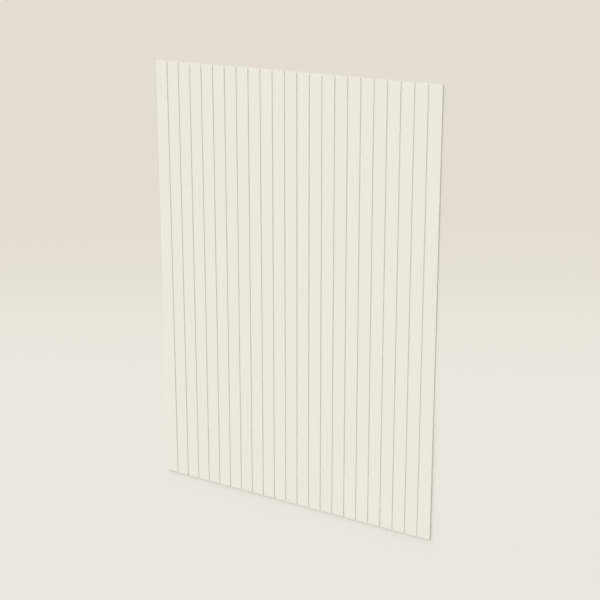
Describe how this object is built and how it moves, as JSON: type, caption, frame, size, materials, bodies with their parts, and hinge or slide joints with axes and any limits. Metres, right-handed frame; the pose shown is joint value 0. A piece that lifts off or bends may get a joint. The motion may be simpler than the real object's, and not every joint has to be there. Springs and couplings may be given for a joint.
{
  "type": "beadboard panel",
  "caption": "Flat rectangular wall panel, painted off-white, with evenly spaced narrow grooves milled along its face, for wainscot and cabinet backs.",
  "frame": {"origin": "middle of the flat back, which lies on the floor", "axes": "+X across the grooves, +Y along the grooves towards the panel's top end, +Z out of the grooved face"},
  "size_m": [0.8762, 1.2192, 0.0063],
  "materials": {
    "cream_paint": "satin"
  },
  "bodies": {
    "root": {"beadboard_panel": "cream_paint"}
  },
  "joints": []
}
